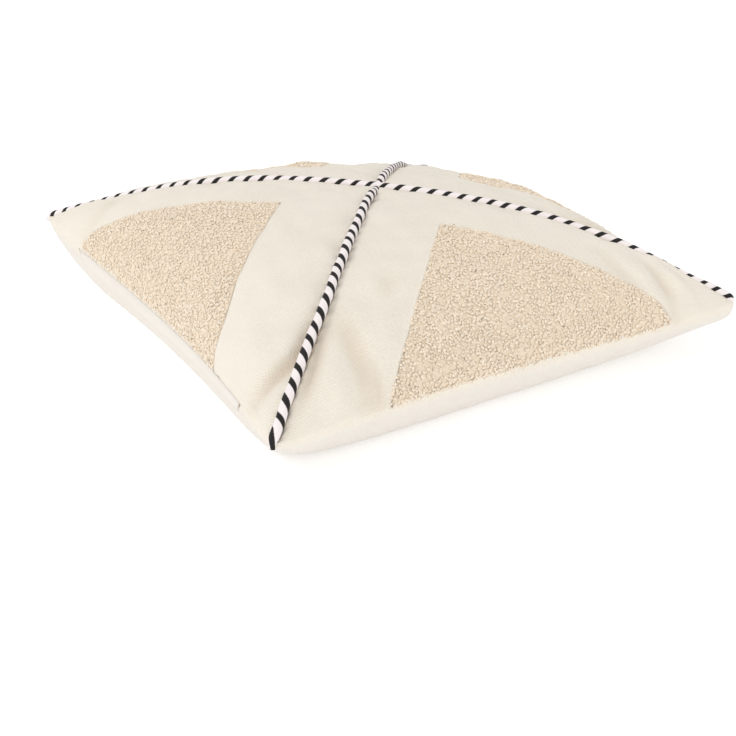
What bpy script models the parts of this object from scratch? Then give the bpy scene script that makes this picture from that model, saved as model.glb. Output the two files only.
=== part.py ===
"""Square throw cushion with boucle triangles, lying on its back.

A canvas cover, sewn from flat pieces and filled. Striped piping crosses the front from corner to corner:
one long length, and two short ones that meet it in the middle. Each quarter of the front holds a triangle
of boucle, sewn in beside the piping on two sides and into the side seam on the third. A flap just under
the seam of one side covers the opening for the filling.

Metres, +Z up, origin at the bottom centre of the cushion, sides along X and Y. A place on the cover is
given by u and v, which run from -1 to 1 along X and Y, from one side seam to the other.
"""

import math

import bmesh
import bpy
import numpy as np

# The cover
CUT_HALF = 0.225  # half the side of the flat cover, before it is filled
CORNER_REACH = 0.2235  # centre to the sharp corner of the filled cover, along X and along Y
CORNER_BLUNT = 0.007  # how far rounding takes each corner back, along X and along Y
CORNER_SHARPNESS = 16  # power that keeps the rounding near the corners
DRAWN_IN_X = 0.0249  # how far the filling draws in the middle of the sides that face X
DRAWN_IN_Y = 0.0115
SEAM_HEIGHT = 0.040  # side seam above the ground, before corners lift and sides sag
SAG_X = 0.0126  # how far the seam sinks in the middle of the sides that face X
SAG_Y = 0.0051
LIFT_SHARPNESS = 6  # power that keeps a corner's lift near it
NOSE_SHARPNESS = 2
NOSE_REACH = 0.02  # how soon a blunt corner is as tall as its row says, 1 at the middle of the cover
# One row for each corner: u, v, its lift above SEAM_HEIGHT, and how tall its blunt underside is
CORNERS = (
    (-1, -1, -0.0070, 0.0000),
    (1, -1, 0.0048, 0.0164),
    (1, 1, 0.0000, 0.0080),
    (-1, 1, 0.0100, 0.0000),
)

# The filling
CROWN = 0.0714  # top of the front above SEAM_HEIGHT
FRONT_FLATTEN = 2.08  # power of u and v: higher is flatter in the middle
FRONT_EDGE = 0.572  # power of the rise from the seam: lower is fuller at the seam
BACK_DEPTH = 0.1266  # how deep the back would hang with nothing under it
BACK_EDGE = 0.538
BACK_LIMIT = 0.0460  # where the ground stops it
ROUND_OVER = 4  # power that turns the hang into its limit: higher is a sharper turn
NOSE_JOIN = 3  # power that joins a blunt corner to the rest of the back
TOUCH_BLEND = 0.0035  # height over which the back turns into its flat
REST_HALF = 0.68359375  # u and v at the edge of the four-sided face it rests on, 7 cells from the middle
REST_LIFT = 0.001  # how far the back lifts off the ground outside that face
REST_REACH = 0.03  # how soon it does
# How full the two faces are towards each side, as factors on u, v, u*v, u*u and v*v
FRONT_FILL = (-0.075, -0.129, -0.255, 0.447, 0.101)
BACK_FILL = (-0.168, 0.244, 0.009, 0.207, -0.030)
QUARTER_BULGE = 0.001  # how far each quarter swells above the piping
QUARTER_REACH = 0.020  # distance from the piping over which it does

# Piping
PIPING_RADIUS = 0.0036
PIPING_LIFT = 0.0008  # its middle above the cover
PIPING_END = 0.995  # u at which it goes into the corner
PIPING_MEET = 0.0143  # u at which a short one stops beside the long one
GROOVE_MEET = 0.0060  # u at which its groove starts, inside the long one's groove
PIPING_STEPS = 36  # straight pieces along the long one
PIPING_ROUND = 2  # steps in a quarter of its section
GROOVE_ROUND = 4
GROOVE_GAP = 0.0006  # groove radius over piping radius, measured at its corners

# Boucle triangles: distances on the flat cover from the piping to the two inner seams
PANEL_UNDER = 0.0012  # backing, below the canvas
PANEL_OVER = 0.0025  # pile, above the canvas
PANEL_SEAM = 0.9985  # where its long side ends, 1 at the side seam
BED_SEAM = 0.9993  # where its bed in the cover ends
PANEL_CUTS = 10
# One row for each: name, u, v of the side it lies along, then its distances from the long and the short
# piping, at its tip and at the side seam
PANELS = (
    ("boucle_left", -1, 0, (0.075, 0.075), (0.051, 0.088)),
    ("boucle_front", 0, -1, (0.0735, 0.069), (0.057, 0.0685)),
    ("boucle_right", 1, 0, (0.070, 0.070), (0.058, 0.068)),
    ("boucle_back", 0, 1, (0.070, 0.070), (0.058, 0.068)),
)

# Flap over the opening, on the back beside the seam of the side that faces -X
FLAP_HALF = 0.72  # v at its two ends
FLAP_EDGES = (0.0003, 0.0052)  # its upper and lower edge, as the distance of u from the seam
FLAP_BED_EDGES = (0.00026, 0.0054)
FLAP_UNDER = 0.0005
FLAP_OVER = 0.0009
FLAP_COLUMNS = 20
FLAP_ROWS = 4

CLEAR = 0.0003  # between pieces that touch
CUTTER_OVER = 0.006  # how far the cutters stand out of the cover
BODY_CELLS = 32  # cells across the cover
EDGE_FINENESS = 2.0  # power that crowds the cells towards the seam
TINY = 1e-6
SEW_MERGE = 1e-5

# Colour and roughness of each cloth
CANVAS = ((0.87, 0.82, 0.74), 0.90)
BOUCLE = ((0.83, 0.72, 0.56), 1.00)
STRIPED = ((0.72, 0.69, 0.68), 0.75)


def side_room(u, v, power=2.0):
    """1 in the middle of the cover and 0 all round its seam."""
    return np.clip((1 - abs(u) ** power) * (1 - abs(v) ** power), 0, None)


def fullness(fill, u, v):
    """The uneven filling: a low curve over the whole cover, 1 in the middle."""
    return 1 + fill[0] * u + fill[1] * v + fill[2] * u * v + fill[3] * u * u + fill[4] * v * v


def near_corner(u, v, corner, power):
    """1 at a corner, falling to 0 at the other three."""
    return ((1 + corner[0] * u) * (1 + corner[1] * v) / 4) ** power


def plan(u, v):
    """X and Y: a square with its sides drawn in and its corners rounded."""
    blunt = CORNER_BLUNT * (u * v) ** CORNER_SHARPNESS
    x = u * (CORNER_REACH - DRAWN_IN_X * (1 - v * v) - blunt)
    y = v * (CORNER_REACH - DRAWN_IN_Y * (1 - u * u) - blunt)
    return x, y


def seam_level(u, v):
    """Height of the sheet that the side seam lies in: the corners lift and the sides sag."""
    lift = sum(corner[2] * near_corner(u, v, corner, LIFT_SHARPNESS) for corner in CORNERS)
    return SEAM_HEIGHT + lift - SAG_X * (1 - v * v) * u * u - SAG_Y * (1 - u * u) * v * v


def front(u, v):
    """The crowned front, lowest along the two lines of piping."""
    x, y = plan(u, v)
    room = side_room(u, v, FRONT_FLATTEN)
    from_piping = np.minimum(abs(u + v), abs(u - v)) * CUT_HALF / math.sqrt(2)
    bulge = QUARTER_BULGE * (1 - np.exp(-((from_piping / QUARTER_REACH) ** 2))) * np.sqrt(room)
    rise = CROWN * room**FRONT_EDGE * fullness(FRONT_FILL, u, v) + bulge
    return np.stack([x, y, seam_level(u, v) + rise], axis=-1)


def picked(a, b, power):
    """The larger of the two for a power above 0, the smaller for one below, and rounded between them."""
    return (a**power + b**power) ** (1 / power)


def resting_level(u, v):
    """Where the ground stops the back: flat under the four-sided resting face, and a little higher round it."""
    beyond = np.maximum(np.maximum(abs(u), abs(v)) - REST_HALF, 0)
    return REST_LIFT * (1 - np.exp(-beyond / REST_REACH))


def back(u, v):
    """The back: it drops steeply from the seam, turns under and lies flat on the ground."""
    x, y = plan(u, v)
    hang = BACK_DEPTH * side_room(u, v) ** BACK_EDGE * fullness(BACK_FILL, u, v)
    to_u, to_v = 1 - u * u, 1 - v * v
    nearest = 2 * to_u * to_v / np.maximum(to_u + to_v, TINY)
    tall = sum(corner[3] * near_corner(u, v, corner, NOSE_SHARPNESS) for corner in CORNERS)
    nose = tall * (1 - np.exp(-np.sqrt(nearest / NOSE_REACH)))
    hang = picked(picked(hang, nose, NOSE_JOIN) + TINY, BACK_LIMIT, -ROUND_OVER)
    ground = resting_level(u, v)
    free = seam_level(u, v) - hang - ground
    blended = (free + TOUCH_BLEND) ** 2 / (4 * TOUCH_BLEND)
    above = np.where(free > TOUCH_BLEND, free, np.where(free < -TOUCH_BLEND, 0, blended))
    return np.stack([x, y, ground + above], axis=-1)


def crowded(t):
    """Even steps of t made finer towards -1 and 1."""
    return np.sign(t) * (1 - (1 - np.abs(t)) ** EDGE_FINENESS)


def material(name, colour, roughness):
    """A plain material of that colour, in linear values, and roughness."""
    made = bpy.data.materials.new(name)
    made.use_nodes = True
    shader = made.node_tree.nodes["Principled BSDF"]
    shader.inputs["Base Color"].default_value = (*colour, 1)
    shader.inputs["Roughness"].default_value = roughness
    shader.inputs["Metallic"].default_value = 0
    return made


def add_object(name, data, collection, surface=None):
    """An object of the part, or a cutter where it is given no material."""
    made = bpy.data.objects.new(name, data)
    collection.objects.link(made)
    if surface:
        made.data.materials.append(surface)
    else:
        made.hide_render = True
        made.display_type = "WIRE"
    return made


def moved(mesh, place):
    """The mesh with each point x, y, z at place(x, y, z)."""
    points = np.empty(len(mesh.vertices) * 3, np.float32)
    mesh.vertices.foreach_get("co", points)
    points = place(*points.reshape(-1, 3).astype(float).T)
    mesh.vertices.foreach_set("co", points.astype(np.float32).ravel())
    mesh.update()
    mesh.shade_smooth()
    return mesh


def cover_mesh():
    """A front and a back grid, at heights 1 and -1 until they are shaped, then sewn along the seam."""
    shape = bmesh.new()
    for level in (1, -1):
        made = bmesh.ops.create_grid(shape, x_segments=BODY_CELLS, y_segments=BODY_CELLS, size=1)
        bmesh.ops.translate(shape, verts=made["verts"], vec=(0, 0, level))
    bmesh.ops.reverse_faces(shape, faces=[face for face in shape.faces if face.calc_center_median().z < 0])
    mesh = bpy.data.meshes.new("cushion")
    shape.to_mesh(mesh)
    shape.free()

    def place(x, y, level):
        u, v = crowded(x), crowded(y)
        return np.where((level > 0)[:, None], front(u, v), back(u, v))

    moved(mesh, place)
    shape = bmesh.new()
    shape.from_mesh(mesh)
    bmesh.ops.remove_doubles(shape, verts=shape.verts, dist=SEW_MERGE)
    shape.to_mesh(mesh)
    shape.free()
    return mesh


def panel_corners(side_u, at_tip, at_seam, wider, seam_end):
    """A triangle's tip and its two corners at the seam, on the flat cover.

    Each is given by its place out, towards the side that the triangle belongs to, and across, to the left
    of that. Its inner sides run roughly along the two lines of piping, and a cutter is wider on both.
    """
    tip, seam = ([(reach - wider) / CUT_HALF * math.sqrt(2) for reach in pair] for pair in (at_tip, at_seam))
    # The long piping is on the right of the two sides that face X, and on the left of the other two.
    (tip_left, tip_right), (left, right) = (pair[::-1] if side_u else pair for pair in (tip, seam))
    return [
        ((tip_left + tip_right) / 2, (tip_right - tip_left) / 2),
        (seam_end, seam_end - left),
        (seam_end, right - seam_end),
    ]


def panel_mesh(name, side_u, side_v, at_tip, at_seam, wider=0.0, seam_end=PANEL_SEAM):
    """A triangle cut into small ones and laid on the front, its rows finer towards the seam."""
    corners = panel_corners(side_u, at_tip, at_seam, wider, seam_end)
    tip_out, tip_across = corners[0]
    shape = bmesh.new()
    shape.faces.new([shape.verts.new((out, across, 0)) for out, across in corners])
    bmesh.ops.subdivide_edges(shape, edges=shape.edges, cuts=PANEL_CUTS, use_grid_fill=True)
    bmesh.ops.triangulate(shape, faces=shape.faces)
    bmesh.ops.recalc_face_normals(shape, faces=shape.faces)
    if sum(face.normal.z for face in shape.faces) < 0:
        bmesh.ops.reverse_faces(shape, faces=shape.faces)
    mesh = bpy.data.meshes.new(name)
    shape.to_mesh(mesh)
    shape.free()

    def place(out, across, _):
        down = np.clip((out - tip_out) / (seam_end - tip_out), TINY, 1)
        finer = 1 - (1 - down) ** EDGE_FINENESS
        out = tip_out + finer * (seam_end - tip_out)
        across = tip_across + (across - tip_across) * finer / down
        return front(out * side_u - across * side_v, out * side_v + across * side_u)

    return moved(mesh, place)


def flap_mesh(name, edges, half):
    """A strip on the back along the seam, its rows evenly spaced down the steep edge."""
    shape = bmesh.new()
    bmesh.ops.create_grid(shape, x_segments=FLAP_ROWS, y_segments=FLAP_COLUMNS, size=1)
    mesh = bpy.data.meshes.new(name)
    shape.to_mesh(mesh)
    shape.free()
    top, foot = (math.sqrt(edge) for edge in edges)

    def place(x, y, _):
        down = top + (foot - top) * (1 + x) / 2
        return back(down * down - 1, y * half)

    moved(mesh, place)
    mesh.flip_normals()
    return mesh


def thickened(made, under, over):
    """Gives a surface a thickness: so much below it and so much above."""
    solid = made.modifiers.new("thickness", "SOLIDIFY")
    solid.thickness = under + over
    solid.offset = (over - under) / (under + over)
    return made


def piping_path(start, end, turn, steps):
    """Points on the front along the diagonal v = turn * u, lifted by what the piping stands out."""
    u = np.linspace(start, end, steps + 1)
    return front(u, turn * u) + np.array([0, 0, PIPING_LIFT])


def tube_curve(name, points, radius, resolution):
    """A closed round tube along the points."""
    curve = bpy.data.curves.new(name, "CURVE")
    curve.dimensions = "3D"
    curve.bevel_depth = radius
    curve.bevel_resolution = resolution
    curve.use_fill_caps = True
    line = curve.splines.new("POLY")
    line.points.add(len(points) - 1)
    line.points.foreach_set("co", np.column_stack([points, np.ones(len(points))]).ravel())
    return curve


def groove_cutter(name, points, collection):
    """The tube that cuts a piping's groove, made a mesh and run out past the end at the corner."""
    corner = points[-1] + (points[-1] - points[-2]) * np.array([1, 1, 0])
    curve = tube_curve(name, np.vstack([points, corner]), PIPING_RADIUS + GROOVE_GAP, GROOVE_ROUND)
    drawn = add_object(name + "_curve", curve, collection)
    bpy.context.view_layer.update()
    graph = bpy.context.evaluated_depsgraph_get()
    mesh = bpy.data.meshes.new_from_object(drawn.evaluated_get(graph))
    bpy.data.objects.remove(drawn)
    shape = bmesh.new()
    shape.from_mesh(mesh)
    bmesh.ops.remove_doubles(shape, verts=shape.verts, dist=TINY)
    shape.to_mesh(mesh)
    shape.free()
    return add_object(name, mesh, collection)


def cut_out(body, cutter):
    """Takes the cutter's shape out of the body."""
    cut = body.modifiers.new(cutter.name, "BOOLEAN")
    cut.operation = "DIFFERENCE"
    cut.solver = "EXACT"
    cut.object = cutter


def add_piping(pieces, cutters, body, surface):
    """One length right across and two that stop short of it, each in a groove of its own."""
    middle = piping_path(PIPING_END, -PIPING_END, -1, PIPING_STEPS)
    half_steps = PIPING_STEPS // 2
    runs = {
        "piping_long": middle,
        "piping_near": piping_path(-PIPING_MEET, -PIPING_END, 1, half_steps),
        "piping_far": piping_path(PIPING_MEET, PIPING_END, 1, half_steps),
    }
    for name, points in runs.items():
        add_object(name, tube_curve(name, points, PIPING_RADIUS, PIPING_ROUND), pieces, surface)
    inner_near, inner_far = (piping_path(u, u, 1, 0) for u in (-GROOVE_MEET, GROOVE_MEET))
    halves = {
        "groove_left": middle[half_steps:],
        "groove_right": middle[half_steps::-1],
        "groove_near": np.vstack([inner_near, runs["piping_near"]]),
        "groove_far": np.vstack([inner_far, runs["piping_far"]]),
    }
    for name, points in halves.items():
        cut_out(body, groove_cutter(name, points, cutters))


def add_panels(pieces, cutters, body, surface):
    """The four triangles, each in a bed that is cut into the cover."""
    for name, *place in PANELS:
        panel = add_object(name, panel_mesh(name, *place), pieces, surface)
        thickened(panel, PANEL_UNDER, PANEL_OVER)
        bed = panel_mesh(name + "_bed", *place, wider=CLEAR, seam_end=BED_SEAM)
        cutter = add_object(name + "_bed", bed, cutters)
        cut_out(body, thickened(cutter, PANEL_UNDER + CLEAR, CUTTER_OVER))


def add_flap(pieces, cutters, body, surface):
    """The flap over the opening, in its bed."""
    flap = add_object("zip_flap", flap_mesh("zip_flap", FLAP_EDGES, FLAP_HALF), pieces, surface)
    thickened(flap, FLAP_UNDER, FLAP_OVER)
    bed = flap_mesh("zip_flap_bed", FLAP_BED_EDGES, FLAP_HALF + CLEAR / CUT_HALF)
    cutter = add_object("zip_flap_bed", bed, cutters)
    cut_out(body, thickened(cutter, FLAP_UNDER + CLEAR, CUTTER_OVER))


def main():
    for old in list(bpy.data.objects):
        bpy.data.objects.remove(old)
    pieces = bpy.data.collections.new("boucle_cushion")
    cutters = bpy.data.collections.new("cutters")
    cutters.hide_render = True
    for collection in (pieces, cutters):
        bpy.context.scene.collection.children.link(collection)
    canvas = material("canvas", *CANVAS)
    body = add_object("cushion", cover_mesh(), pieces, canvas)
    add_piping(pieces, cutters, body, material("striped_cotton", *STRIPED))
    add_panels(pieces, cutters, body, material("boucle", *BOUCLE))
    add_flap(pieces, cutters, body, canvas)


main()
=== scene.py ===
# %% [markdown]
# # A canvas cushion with boucle triangles
#
# This lesson dresses a finished CAD model. The real object is a square throw cushion lying on its back: an
# unbleached canvas cover, striped piping from corner to corner across its front, and a boucle triangle in
# each quarter. Each cell below makes one piece of the real cushion, or one finish, in that same frame, in
# metres.

import math

import bmesh
import bpy
import numpy as np
from mathutils import Matrix, Vector


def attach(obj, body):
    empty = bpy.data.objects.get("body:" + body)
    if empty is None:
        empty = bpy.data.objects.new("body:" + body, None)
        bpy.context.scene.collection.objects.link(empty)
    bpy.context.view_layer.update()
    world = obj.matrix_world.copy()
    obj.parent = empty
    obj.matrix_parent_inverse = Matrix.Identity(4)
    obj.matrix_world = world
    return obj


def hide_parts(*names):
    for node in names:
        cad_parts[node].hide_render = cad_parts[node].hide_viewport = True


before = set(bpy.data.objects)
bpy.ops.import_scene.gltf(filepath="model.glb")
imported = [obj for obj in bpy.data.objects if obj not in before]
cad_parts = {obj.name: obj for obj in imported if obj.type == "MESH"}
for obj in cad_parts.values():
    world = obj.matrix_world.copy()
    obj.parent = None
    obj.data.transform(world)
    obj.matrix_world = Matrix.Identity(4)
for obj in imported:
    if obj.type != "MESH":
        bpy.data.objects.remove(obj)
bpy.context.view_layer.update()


def in_mm(lengths):
    """Lengths in millimetres, to a tenth."""
    return np.round(np.asarray(lengths, float) * 1000, 1).tolist()


# %% [markdown]
# ## Small helpers
#
# Nearly every piece needs directions of length 1, lengths added up along a row of points, and soft bumps
# and steps of a known width. Named once here, they keep the later formulas as short as they are in words.

# %% Helpers
def unit(vectors):
    """Each vector divided by its length."""
    return vectors / np.maximum(np.linalg.norm(vectors, axis=-1, keepdims=True), 1e-12)


def lengths_along(places, axis=0):
    """The summed lengths of the steps from the first place to each, along an axis."""
    steps = np.linalg.norm(np.diff(places, axis=axis), axis=-1)
    return np.insert(np.cumsum(steps, axis=axis), 0, 0, axis=axis)


def bell(t):
    """exp(-t^2): 1 at 0, and near 0 from 2 on."""
    return np.exp(-(t**2))


def eased(t):
    """3t^2 - 2t^3 between 0 and 1, and flat outside."""
    t = np.clip(t, 0, 1)
    return t * t * (3 - 2 * t)


def placed(name, data):
    """A new object of this data, linked into the scene."""
    made = bpy.data.objects.new(name, data)
    bpy.context.scene.collection.objects.link(made)
    return made


# %% [markdown]
# ## The camera
#
# The photograph was taken from a little above, off one corner of the cushion. A camera can be placed by
# trial, or worked out from points whose real places are known, such as the ends of the piping and the
# stripes along it. The numbers here come from such a fit: a direction round the cushion, a height above
# the floor, a distance, and a small tilt and roll of the camera itself.

# %% Camera
PHOTO_WIDTH = 736
AIM = np.array([0, 0, 0.0335])  # the point it turns round
AZIMUTH, ELEVATION = 4.1095, 0.3812  # where it stands, in radians
DISTANCE = 0.9485
PITCH, ROLL = 0.0910, -0.0512
FOCAL_PIXELS, SENSOR = 1070.6, 36.0


def turned(one, other, angle):
    """Two directions turned in their plane: cos * one + sin * other, and cos * other - sin * one."""
    cos, sin = math.cos(angle), math.sin(angle)
    return cos * one + sin * other, cos * other - sin * one


along_x, along_y, straight_up = np.eye(3)
outward, level = turned(along_x, along_y, AZIMUTH)
away, upward = turned(outward, straight_up, ELEVATION)
backward, tilted = turned(away, upward, PITCH)
above, across = turned(tilted, level, ROLL)
stand = AIM + away * DISTANCE

lens = bpy.data.cameras.new("camera")
lens.sensor_width, lens.lens = SENSOR, FOCAL_PIXELS * SENSOR / PHOTO_WIDTH
camera = placed("camera", lens)
camera.matrix_world = Matrix([*np.column_stack([across, above, backward, stand]), (0, 0, 0, 1)])
bpy.context.scene.camera = camera
print("camera at", np.round(stand, 3), "lens", round(lens.lens, 1), "mm")

# %% [markdown]
# ## The shape of the filled cover
#
# A cover is cut flat and turns into a cushion when it is filled: the middle rises, the sides draw in and
# the corners stay pointed. Here that shape is a formula, the same one the CAD solid was made from. A place
# on the cover is given by u and v, each from -1 to 1 between two side seams, and the formula gives the
# point in space. Every other piece is laid on this surface, so nothing has to be fitted by eye.

# %% The formula of the cover
CUT_HALF = 0.225  # half the side of the flat cover
HALF_DIAGONAL = CUT_HALF * math.sqrt(2)
CORNER_REACH, CORNER_BLUNT, CORNER_SHARPNESS = 0.2235, 0.007, 16
DRAWN_IN_X, DRAWN_IN_Y = 0.0249, 0.0115
SEAM_HEIGHT, SAG_X, SAG_Y = 0.040, 0.0126, 0.0051
LIFT_SHARPNESS, NOSE_SHARPNESS, NOSE_REACH = 6, 2, 0.02
# For each corner: u, v, its lift above the seam's height, and how tall its blunt underside is
CORNERS = ((-1, -1, -0.0070, 0.0), (1, -1, 0.0048, 0.0164), (1, 1, 0.0, 0.0080), (-1, 1, 0.0100, 0.0))
CROWN, FRONT_FLATTEN, FRONT_EDGE = 0.0714, 2.08, 0.572
BACK_DEPTH, BACK_EDGE, BACK_LIMIT = 0.1266, 0.538, 0.0460
ROUND_OVER, NOSE_JOIN, TOUCH_BLEND = 4, 3, 0.0035
REST_HALF, REST_LIFT, REST_REACH = 0.68359375, 0.001, 0.03
FRONT_FILL = (-0.075, -0.129, -0.255, 0.447, 0.101)  # fuller or flatter towards each side
BACK_FILL = (-0.168, 0.244, 0.009, 0.207, -0.030)
QUARTER_BULGE, QUARTER_REACH = 0.001, 0.020
TINY = 1e-6


def side_room(u, v, power=2.0):
    """(1 - |u|^power) (1 - |v|^power): 1 in the middle of the cover and 0 all round its seam."""
    return np.clip((1 - abs(u) ** power) * (1 - abs(v) ** power), 0, None)


def fullness(fill, u, v):
    """1 + a u + b v + c uv + d u^2 + e v^2: the uneven filling."""
    return 1 + fill[0] * u + fill[1] * v + fill[2] * u * v + fill[3] * u * u + fill[4] * v * v


def at_corners(u, v, column, power):
    """Over the corners cu, cv, the sum of a column times ((1 + cu u) (1 + cv v) / 4)^power."""
    return sum(row[column] * ((1 + row[0] * u) * (1 + row[1] * v) / 4) ** power for row in CORNERS)


def plan(u, v):
    """x = u (reach - draw (1 - v^2) - blunt (uv)^16), and y the same way: sides drawn in, corners rounded."""
    blunt = CORNER_BLUNT * (u * v) ** CORNER_SHARPNESS
    x = u * (CORNER_REACH - DRAWN_IN_X * (1 - v * v) - blunt)
    y = v * (CORNER_REACH - DRAWN_IN_Y * (1 - u * u) - blunt)
    return x, y


def seam_level(u, v):
    """Height of the side seam: its own, plus each corner's lift, less a sag (1 - v^2) u^2 on a side."""
    lift = at_corners(u, v, 2, LIFT_SHARPNESS)
    return SEAM_HEIGHT + lift - SAG_X * (1 - v * v) * u * u - SAG_Y * (1 - u * u) * v * v


def from_piping(u, v):
    """Distance to the nearer piping on the flat cover: min(|u + v|, |u - v|) times half its side / sqrt 2."""
    return np.minimum(abs(u + v), abs(u - v)) * CUT_HALF / math.sqrt(2)


def front(u, v):
    """The crowned front: seam level + crown * room^0.572 * fullness, and each quarter swells by 1 mm."""
    x, y = plan(u, v)
    room = side_room(u, v, FRONT_FLATTEN)
    bulge = QUARTER_BULGE * (1 - bell(from_piping(u, v) / QUARTER_REACH)) * np.sqrt(room)
    rise = CROWN * room**FRONT_EDGE * fullness(FRONT_FILL, u, v) + bulge
    return np.stack([x, y, seam_level(u, v) + rise], axis=-1)


def picked(a, b, power):
    """(a^p + b^p)^(1/p): the larger for p above 0, the smaller for p below, and rounded between them."""
    return (a**power + b**power) ** (1 / power)


def back(u, v):
    """The back: seam level less its hang, which is room^0.538 up to a limit, then flat on the ground."""
    x, y = plan(u, v)
    hang = BACK_DEPTH * side_room(u, v) ** BACK_EDGE * fullness(BACK_FILL, u, v)
    to_u, to_v = 1 - u * u, 1 - v * v
    nearest = 2 * to_u * to_v / np.maximum(to_u + to_v, TINY)
    nose = at_corners(u, v, 3, NOSE_SHARPNESS) * (1 - np.exp(-np.sqrt(nearest / NOSE_REACH)))
    hang = picked(picked(hang, nose, NOSE_JOIN) + TINY, BACK_LIMIT, -ROUND_OVER)
    beyond = np.maximum(np.maximum(abs(u), abs(v)) - REST_HALF, 0)
    ground = REST_LIFT * (1 - np.exp(-beyond / REST_REACH))
    free = seam_level(u, v) - hang - ground
    blended = (free + TOUCH_BLEND) ** 2 / (4 * TOUCH_BLEND)
    lifted = np.where(free > TOUCH_BLEND, free, np.where(free < -TOUCH_BLEND, 0, blended))
    return np.stack([x, y, ground + lifted], axis=-1)


print("top of the crown at", in_mm(front(np.zeros(1), np.zeros(1))[0, 2]), "mm")

# %% [markdown]
# ## Directions on the cover
#
# What is sewn to the cover lies along its surface or stands up from it. The normal could be derived by
# hand from the formula, but two points a small step apart give it just as well. The triangles and the
# piping are placed by their flat distances from the two diagonals, which turn into u and v here.

# %% Surface frame
STEP = 2e-4  # how far apart two points are that a slope is measured from


def to_square(a, b):
    """Flat distances a and b from the long and the short piping to u = (a + b) / H and v = (a - b) / H."""
    return np.clip((a + b) / HALF_DIAGONAL, -1, 1), np.clip((a - b) / HALF_DIAGONAL, -1, 1)


def on_surface(shape, u, v, side=1):
    """Point, unit normal and two unit tangents: the normal is the cross product of both slopes."""
    inner_u, inner_v = (np.clip(t, -1 + 2 * STEP, 1 - 2 * STEP) for t in (u, v))
    along_u = shape(inner_u + STEP, inner_v) - shape(inner_u - STEP, inner_v)
    along_v = shape(inner_u, inner_v + STEP) - shape(inner_u, inner_v - STEP)
    normal, tangent = unit(np.cross(along_u, along_v) * side), unit(along_u)
    return shape(u, v), normal, tangent, np.cross(normal, tangent)


# %% [markdown]
# ## Putting points into a mesh
#
# A surface worked out with numpy is an array of points and an array of faces. Blender takes both at once,
# which is far quicker than adding them one by one. Smooth shading is set the same way, and a float
# attribute or a UV map can be filled from an array too, for a material to read later. Pieces made of
# several grids, or open tubes, are sewn up afterwards with Blender's own mesh tools.

# %% Mesh helpers
def add_mesh(name, points, quads, triangles=(), uv=None, values=None):
    """A smooth mesh object of these points and faces, with a UV map and named values on its points."""
    mesh = bpy.data.meshes.new(name)
    points = np.asarray(points, np.float32).reshape(-1, 3)
    groups = [np.asarray(faces, np.int32) for faces in (quads, triangles) if len(faces)]
    corners = np.concatenate([faces.ravel() for faces in groups])
    sizes = np.concatenate([np.full(faces.size // faces.shape[-1], faces.shape[-1]) for faces in groups])
    mesh.vertices.add(len(points))
    mesh.vertices.foreach_set("co", points.ravel())
    mesh.loops.add(len(corners))
    mesh.loops.foreach_set("vertex_index", corners)
    mesh.polygons.add(len(sizes))
    mesh.polygons.foreach_set("loop_start", (np.cumsum(sizes) - sizes).astype(np.int32))
    mesh.polygons.foreach_set("use_smooth", np.ones(len(sizes), bool))
    mesh.update(calc_edges=True)
    if uv is not None:
        flat = np.asarray(uv, np.float32).reshape(-1, 2)
        mesh.uv_layers.new(name="uv").data.foreach_set("uv", flat[corners].ravel())
    for label, value in (values or {}).items():
        layer = mesh.attributes.new(label, "FLOAT", "POINT")
        layer.data.foreach_set("value", np.asarray(value, np.float32).ravel())
    print(name, len(points), "points", int((sizes - 2).sum()), "triangles")
    return placed(name, mesh)


def quads_of(number):
    """The quads of a grid of point numbers, each from its first corner on along the row."""
    here, there = number[:-1], number[1:]
    return np.stack([here[:, :-1], here[:, 1:], there[:, 1:], there[:, :-1]], axis=-1).reshape(-1, 4)


def grid_quads(rows, columns, closed=False):
    """Quads of a grid of points stored row by row, with its last column joined to its first if closed."""
    number = np.arange(rows * columns).reshape(rows, columns)
    return quads_of(np.hstack([number, number[:, :1]]) if closed else number)


def tube_faces(count, rings, sides):
    """Quads and end triangles of so many separate tubes, each with its rings of points one after another."""
    each = rings * sides
    first = np.arange(count)[:, None, None] * each
    k = np.arange(1, sides - 1)
    fan = np.stack([0 * k, k + 1, k], axis=-1)
    ends = np.vstack([fan, fan[:, ::-1] + each - sides])
    return first + grid_quads(rings, sides, closed=True), first + ends


def sewn(made, distance=0.0):
    """Joins points that lie within the distance, closes what is still open, and turns all faces outwards."""
    shape = bmesh.new()
    shape.from_mesh(made.data)
    if distance:
        bmesh.ops.remove_doubles(shape, verts=shape.verts, dist=distance)
    rims = [edge for edge in shape.edges if len(edge.link_faces) == 1]
    for face in bmesh.ops.holes_fill(shape, edges=rims, sides=0)["faces"] if rims else ():
        face.smooth = True
    bmesh.ops.recalc_face_normals(shape, faces=shape.faces)
    open_edges = sum(1 for edge in shape.edges if len(edge.link_faces) != 2)
    shape.to_mesh(made.data)
    shape.free()
    print(made.name, "has", open_edges, "open edges after sewing")
    return made


def dressed(made, slot, *nodes):
    """Gives the piece its body, and lets it stand for CAD nodes by hiding them; the slot is not used."""
    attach(made, "root")
    if nodes:
        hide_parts(*nodes)
    return made


# %% [markdown]
# ## Threads measured along the cloth
#
# A weave has the same pitch everywhere on real cloth, also where the cover turns steeply under at its
# seam. If the pattern followed u and v it would stretch there. So the length of cloth from the middle to
# each place is added up along both directions on a fine table, and looked up for every point of a piece.
# The result becomes its UV map, in metres of cloth.

# %% Cloth lengths
def crowded(count):
    """Steps from -1 to 1, sign(t) (1 - (1 - |t|)^2) of even ones, so that they are finer towards the seam."""
    even = np.linspace(-1, 1, count)
    return np.sign(even) * (1 - (1 - np.abs(even)) ** 2)


TABLE = 241
TABLE_STEPS = crowded(TABLE)


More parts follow.
